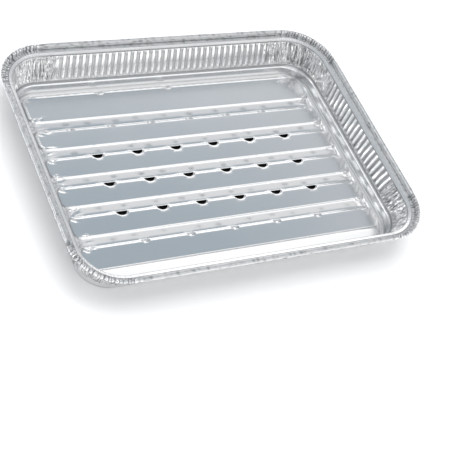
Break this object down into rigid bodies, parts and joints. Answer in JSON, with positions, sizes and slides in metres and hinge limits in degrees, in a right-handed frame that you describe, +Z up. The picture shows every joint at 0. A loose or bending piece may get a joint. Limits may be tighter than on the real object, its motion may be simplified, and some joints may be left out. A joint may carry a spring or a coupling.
{
  "type": "perforated grill tray",
  "caption": "Shallow rectangular foil tray with a rolled rim, pleated walls and a ridged floor with half-round drain holes, for laying food on a grill.",
  "frame": {"origin": "middle of the tray, in the plane it stands on", "axes": "+Z up, +X along the length and the grooves, +Y to the rear"},
  "size_m": [0.325, 0.25, 0.0389],
  "materials": {
    "foil": "bright rolled foil"
  },
  "bodies": {
    "root": {"grill_tray": "foil"}
  },
  "joints": []
}
